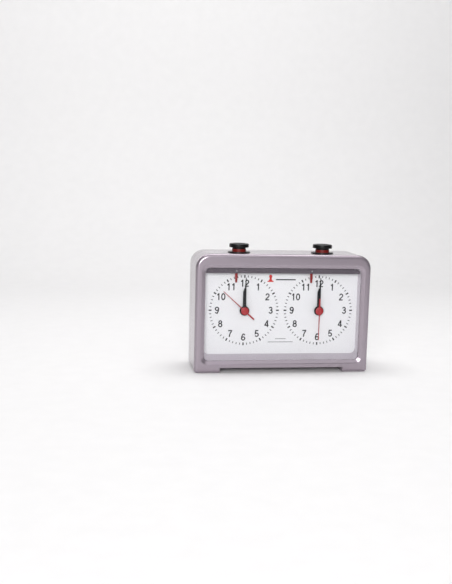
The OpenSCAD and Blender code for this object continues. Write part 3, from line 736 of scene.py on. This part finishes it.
def flag(side):
    """Tapered flag that hangs from its pin."""
    low, high = box_mm(side + "_flag")
    x, d0 = (low.x + high.x) / 2, low.y - FRONT_Y
    half_top = (high.x - low.x) / 2
    half_end = 0.9
    top = high.z - 1.55
    corners = [(x - half_end, low.z, 0.3, False), (x + half_end, low.z, 0.3, False),
               (x + half_top, top, 0.1, False), (x + half_end, high.z, 0.4, False),
               (x - half_end, high.z, 0.4, False), (x - half_top, top, 0.1, False)]
    bm = plate(bmesh.new(), corners, d0, high.y - FRONT_Y, edge=0.12)
    piece = add_piece(side + "_flag_plate", finish_mesh(bm, side + "_flag_plate"),
                      side + "_flag_arm", MATERIALS["flag_red"], [side + "_flag"])
    weigh_normals(piece)


def emblem():
    """Generic pawn and plain rules where the dial of such a clock has its printing."""
    d0, d1 = DIAL_D - PRINT_T, DIAL_D + PRINT_T
    cz = dial_centre("left")[1]
    base = cz + 26.6
    x = -11.0
    pawn = [(x - 3.0, base), (x + 3.0, base), (x + 2.7, base + 1.0), (x + 1.5, base + 1.5),
            (x + 0.9, base + 3.6), (x + 1.6, base + 4.0), (x - 1.6, base + 4.0),
            (x - 0.9, base + 3.6), (x - 1.5, base + 1.5), (x - 2.7, base + 1.0)]
    bm = bmesh.new()
    loft(bm, [at_depth([Vector(p) for p in pawn], d) for d in (d0, d1)])
    head = [Vector(p) for p in arc(x, base + 5.2, 1.5, 0, 345, 23)]
    loft(bm, [at_depth(head, d) for d in (d0, d1)])
    add_piece("dial_pawn", finish_mesh(bm, "dial_pawn"), "case", MATERIALS["print_red"])
    bm = bmesh.new()
    rule(bm, 3.4, base + 2.2, 19, 1.1, d0, d1)
    add_piece("dial_rule", finish_mesh(bm, "dial_rule"), "case",
              MATERIALS["print_black"])
    bm = bmesh.new()
    rule(bm, 0, cz - 27.0, 10, 0.45, d0, d1)
    rule(bm, 0, cz - 30.0, 24, 0.45, d0, d1)
    add_piece("dial_foot_rules", finish_mesh(bm, "dial_foot_rules"), "case",
              MATERIALS["print_grey"])


def rule(bm, cx, cz, width, height, d0, d1):
    """Flat bar with rounded ends, centred on (cx, cz)."""
    points = outline(rectangle(cx - width / 2, cz - height / 2, cx + width / 2, cz + height / 2,
                               height * 0.45), segs=4)
    loft(bm, [at_depth(points, d0), at_depth(points, d1)])


# ---------- back ----------

def knob(side):
    """Setting knob: fluted rim and a dished end with a ring groove."""
    low, high = box_mm(side + "_setting_knob")
    x, z = knob_centre(side)
    r = (high.z - low.z) / 2
    d0, d1 = CASE_D + 0.5, high.y - FRONT_Y
    flutes, steps = 24, 240

    def rim(radius, d, depth):
        ring = []
        for k in range(steps):
            a = 2 * math.pi * k / steps
            dip = depth * max(0.0, math.cos(flutes * a)) ** 2
            ring.append(Vector((x + (radius - dip) * math.cos(a), FRONT_Y + d,
                                z + (radius - dip) * math.sin(a))) * MM)
        return ring

    rings = [rim(2.3, CASE_D - 3.9, 0), rim(2.3, d0, 0), rim(r - 0.5, d0, 0.2),
             rim(r, d0 + 0.4, 0.45), rim(r, d1 - 0.6, 0.45), rim(r - 0.15, d1 - 0.25, 0.3),
             rim(r - 0.55, d1 - 0.02, 0.05), rim(r - 1.5, d1, 0), rim(r - 1.7, d1 - 0.25, 0),
             rim(r - 2.0, d1 - 0.6, 0), rim(r - 4.0, d1 - 0.6, 0), rim(r - 4.3, d1 - 0.2, 0),
             rim(r - 4.6, d1, 0)]
    bm = loft(bmesh.new(), rings)
    piece = add_piece(side + "_knob", finish_mesh(bm, side + "_knob"), side + "_setting",
                      MATERIALS["button_black"], [side + "_setting_knob"])
    weigh_normals(piece)


# ---------- CAD parts that are shown as they are ----------

def dress_cad():
    """Gives every CAD part its material and rounds the edges of those that show."""
    slots = {row["node"]: row["material_slot"] for row in frame["record"]["subparts"]}
    rounded = {"flag_rail": 0.2, "case_screws": 0.15, "window_lens": 0.1,
               "left_plunger": 0.3, "right_plunger": 0.3, "rocker_beam": 0.3,
               "left_movement_cover": 0.5, "right_movement_cover": 0.5}
    for name, node in frame["nodes"].items():
        node.data.materials.clear()
        node.data.materials.append(MATERIALS[slots[name]])
        if name in rounded:
            soften(node, rounded[name])


# ---------- stage ----------

def stage():
    """Pale sweep of paper under and behind the clock."""
    bm = bmesh.new()
    half, front, back, bend, high = 3.0, -2.5, 0.9, 0.35, 2.5
    line = [(front, 0.0), (back - bend, 0.0)]
    line += [(back - bend + bend * math.sin(a), bend - bend * math.cos(a))
             for a in (math.pi / 2 * k / 12 for k in range(1, 13))]
    line += [(back, high)]
    rows = [[bm.verts.new((x, y, z)) for y, z in line] for x in (-half, half)]
    for i in range(len(line) - 1):
        bm.faces.new((rows[0][i], rows[1][i], rows[1][i + 1], rows[0][i + 1]))
    mesh = bpy.data.meshes.new("paper_sweep")
    bm.to_mesh(mesh)
    bm.free()
    mesh.shade_smooth()
    sweep = bpy.data.objects.new("paper_sweep", mesh)
    bpy.context.scene.collection.objects.link(sweep)
    mesh.materials.append(surface("paper", linear(240, 239, 239), 0.7, vary=0.01, grain=60,
                                  specular=0.2))


def area_light(name, at, aim, size, power):
    light = bpy.data.lights.new(name, "AREA")
    light.shape = "RECTANGLE"
    light.size, light.size_y = size
    light.energy = power
    thing = bpy.data.objects.new(name, light)
    bpy.context.scene.collection.objects.link(thing)
    thing.location = at
    thing.rotation_euler = (Vector(aim) - Vector(at)).to_track_quat("-Z", "Y").to_euler()


def lights():
    """Key from the front left, soft boxes above, and a wash on the paper behind."""
    aim = (0, 0, 0.05)
    area_light("key_front", (-0.4, -1.5, 0.55), aim, (0.7, 0.5), 15.5)
    area_light("softbox_top", (0.0, 0.05, 1.0), (0, 0, 0), (0.9, 0.6), 4.5)
    area_light("softbox_high", (0.25, -0.75, 0.85), aim, (0.9, 0.5), 1.6)
    area_light("backdrop_wash", (0.0, 0.15, 1.5), (0, 0.9, 0.4), (1.8, 0.5), 8)
    world = bpy.data.worlds.new("studio")
    world.use_nodes = True
    world.node_tree.nodes["Background"].inputs["Color"].default_value = (0.95, 0.96, 1.0, 1)
    world.node_tree.nodes["Background"].inputs["Strength"].default_value = 0.11
    bpy.context.scene.world = world
    bpy.context.scene.view_settings.view_transform = "Standard"


CAMERA_LENS = 53.41
CAMERA_AT = (-0.1731, -0.8003, 0.1821)
CAMERA_TURN = (82.223, -1.406, -8.568)


def camera():
    """Stands to the left of the clock and above it, with the clock right of mid-frame."""
    data = bpy.data.cameras.new("camera")
    data.lens = CAMERA_LENS
    thing = bpy.data.objects.new("camera", data)
    bpy.context.scene.collection.objects.link(thing)
    thing.location = CAMERA_AT
    thing.rotation_euler = [math.radians(a) for a in CAMERA_TURN]
    bpy.context.scene.camera = thing


front_frame()
dial_tray()
middle_housing()
rear_cover()
battery_door()
for side_name in SIDES:
    button(side_name)
    dial_print(side_name)
    hands(side_name)
    flag(side_name)
    knob(side_name)
emblem()
dress_cad()
stage()
lights()
camera()
